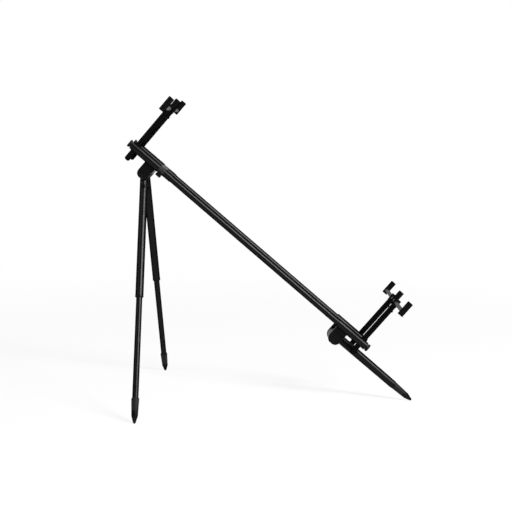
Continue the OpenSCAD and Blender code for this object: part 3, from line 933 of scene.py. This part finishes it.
@dataclass
class Studio:
    """Pale floor, white surround, soft lights and the camera.

    Attributes:
        eye: camera position.
        pitch: degrees that the camera looks down.
        yaw: degrees that it looks to the right.
        roll: degrees that it is rolled.
        lens: focal length on a sensor of that width, in millimetres.
        sensor: width of the sensor.
        target: point that the lamps face.
        key: the main lamp.
        fill: the weaker lamp.
        room: brightness of the studio behind the camera, in reflections.
        fade: lean of a direction, back or ahead, between which that studio fades to white.
        ambient: brightness of the surround as a light.
        floor: half the width of the floor, in metres.
        paint: grey of the floor's paint.
        white: share of plain white in the floor near the pod, where the rest keeps the shadow.
        reach: distances between which the floor goes from that share to plain white, in metres.
    """

    eye: Triple = (-0.00695, -2.52115, 0.66954)
    pitch: float = 6.970
    yaw: float = -0.726
    roll: float = -1.170
    lens: float = 71.323
    sensor: float = 36.0
    target: Triple = (0.0, 0.0, 0.4)
    key: Lamp = Lamp("key", (2.44, -2.25, 2.68), (0.75, 1.90), 295.0)
    fill: Lamp = Lamp("fill", (-1.9, -1.5, 1.9), (1.6, 1.6), 16.0)
    room: float = 0.05
    fade: float = 0.35
    ambient: float = 0.12
    floor: float = 30.0
    paint: float = 0.86
    white: float = 0.88
    reach: Pair = (0.7, 2.5)

    def build(self) -> None:
        """Sets up the whole stage."""
        self._camera()
        self._floor()
        self._surround()
        for lamp in (self.key, self.fill):
            lamp.hang(Vector(self.target))

    def _camera(self) -> None:
        """Places the camera at the photograph's angle."""
        pitch, yaw, roll = (math.radians(angle) for angle in (self.pitch, self.yaw, self.roll))
        ahead = Vector((math.sin(yaw) * math.cos(pitch), math.cos(yaw) * math.cos(pitch), -math.sin(pitch)))
        right = Vector((math.cos(yaw), -math.sin(yaw), 0.0))
        down = ahead.cross(right)
        side = right * math.cos(roll) + down * math.sin(roll)
        low = down * math.cos(roll) - right * math.sin(roll)
        data = bpy.data.cameras.new("camera")
        data.lens, data.sensor_width = self.lens, self.sensor
        camera = bpy.data.objects.new("camera", data)
        turn = Matrix((side, -low, -ahead)).transposed().to_4x4()
        camera.matrix_world = Matrix.Translation(self.eye) @ turn
        bpy.context.scene.collection.objects.link(camera)
        bpy.context.scene.camera = camera

    def _seen_white(self, tree: bpy.types.NodeTree) -> bpy.types.NodeSocket:
        """Adds the test for rays that show the white surround.

        Args:
            tree: node tree to add it to.

        Returns:
            A socket that is 1 for camera, glossy and transmission rays.
        """
        path = tree.nodes.new("ShaderNodeLightPath").outputs
        first = combined(tree, "MAXIMUM", path["Is Camera Ray"], path["Is Glossy Ray"])
        return combined(tree, "MAXIMUM", first, path["Is Transmission Ray"])

    def _floor(self) -> None:
        """Lays the floor, which keeps the shadow near the pod and fades into the surround."""
        bm = bmesh.new()
        bmesh.ops.create_grid(bm, x_segments=1, y_segments=1, size=self.floor)
        mesh = bpy.data.meshes.new("floor")
        bm.to_mesh(mesh)
        bm.free()
        mesh.materials.append(self._floor_paint())
        floor = bpy.data.objects.new("floor", mesh)
        bpy.context.scene.collection.objects.link(floor)

    def _floor_paint(self) -> bpy.types.Material:
        """Mixes the floor's paint, which shows white and takes the shadow.

        Returns:
            The paint.
        """
        material = bpy.data.materials.new("floor_white")
        material.use_nodes = True
        tree = material.node_tree
        tree.nodes.clear()
        new, link = tree.nodes.new, tree.links.new
        place = new("ShaderNodeTexCoord")
        far = new("ShaderNodeVectorMath")
        far.operation = "LENGTH"
        link(place.outputs["Object"], far.inputs[0])
        white = ranged(tree, far.outputs["Value"], self.reach, (self.white, 1.0), "SMOOTHSTEP")
        share = combined(tree, "MULTIPLY", self._seen_white(tree), white)
        paint = new("ShaderNodeBsdfDiffuse")
        paint.inputs["Color"].default_value = (self.paint, self.paint, self.paint, 1.0)
        glow = new("ShaderNodeEmission")
        mix = new("ShaderNodeMixShader")
        link(share, mix.inputs[0])
        link(paint.outputs["BSDF"], mix.inputs[1])
        link(glow.outputs["Emission"], mix.inputs[2])
        out = new("ShaderNodeOutputMaterial")
        link(mix.outputs["Shader"], out.inputs["Surface"])
        return material

    def _surround(self) -> None:
        """Makes the world white to look at, dim behind the camera in reflections, and soft as a light."""
        world = bpy.data.worlds.new("surround")
        bpy.context.scene.world = world
        world.use_nodes = True
        tree = world.node_tree
        tree.nodes.clear()
        new, link = tree.nodes.new, tree.links.new
        way = new("ShaderNodeTexCoord")
        parts = new("ShaderNodeSeparateXYZ")
        link(way.outputs["Generated"], parts.inputs["Vector"])
        room = ranged(tree, parts.outputs["Y"], (-self.fade, self.fade), (self.room, 1.0))
        path = new("ShaderNodeLightPath")
        seen = new("ShaderNodeMix")
        link(path.outputs["Is Camera Ray"], seen.inputs["Factor"])
        link(room, seen.inputs["A"])
        seen.inputs["B"].default_value = 1.0
        level = new("ShaderNodeMix")
        level.inputs["A"].default_value = self.ambient
        link(self._seen_white(tree), level.inputs["Factor"])
        link(seen.outputs["Result"], level.inputs["B"])
        back = new("ShaderNodeBackground")
        back.inputs["Color"].default_value = (1.0, 1.0, 1.0, 1.0)
        link(level.outputs["Result"], back.inputs["Strength"])
        out = new("ShaderNodeOutputWorld")
        link(back.outputs["Background"], out.inputs["Surface"])


def main() -> None:
    """Builds the stage and the pod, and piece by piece."""
    logging.basicConfig(level=logging.INFO, format="%(name)s %(message)s")
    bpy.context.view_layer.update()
    bpy.context.scene.view_settings.view_transform = "Standard"
    Studio().build()
    rear_bolt = Pin(width=10.0, length=64.8, socket=5.0, depth=3.0)
    splay_bolt = Pin(width=6.0, length=18.3, socket=3.0, depth=1.6)
    rear_screw = Screw(head_width=19.4, head_height=4.8, neck_width=15.0, neck=3.6,
                       shank_width=6.0, shank=8.0)
    front_screw = replace(rear_screw, shank=5.0)
    rail_screw = Screw(head_width=14.4, head_height=5.6, neck_width=6.0, neck=0.0,
                       shank_width=6.0, shank=3.1, flutes=20)
    MainBar(rear_bolt, rear_screw).build()
    FrontHead(replace(rear_bolt, length=74.8), front_screw, rail_screw).build()
    for side in Side:
        FrontLeg(side, splay_bolt, Foot()).build()
    RearLeg(lift=3.8, foot=Foot()).build()
    for end in End:
        BuzzBar(end).build()


if __name__ == "__main__":
    main()
